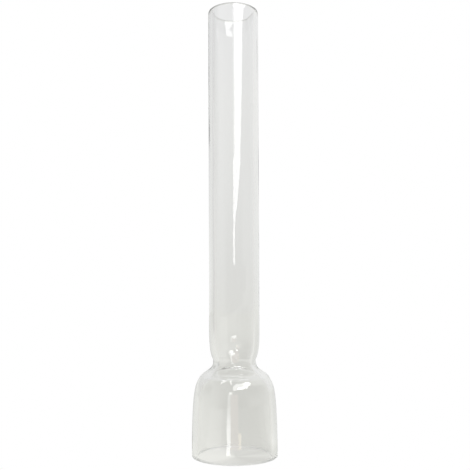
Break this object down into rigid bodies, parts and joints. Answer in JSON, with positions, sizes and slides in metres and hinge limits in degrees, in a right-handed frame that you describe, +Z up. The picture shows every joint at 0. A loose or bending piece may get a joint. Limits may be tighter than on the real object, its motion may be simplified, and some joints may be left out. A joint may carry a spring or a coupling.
{
  "type": "glass lamp chimney",
  "caption": "Tall clear glass chimney for an oil lamp: straight tube, pinched waist, wide bell-shaped foot, open at both ends.",
  "frame": {"origin": "centre of the foot ring, on the plane that the foot stands on", "axes": "+Z up the axis of the glass, from the foot to the top opening; X and Y are equal, because the glass is round"},
  "size_m": [0.046, 0.046, 0.245],
  "materials": {
    "clear_glass": "clear blown glass, fire-polished rims"
  },
  "bodies": {
    "root": {"chimney": "clear_glass"}
  },
  "joints": []
}
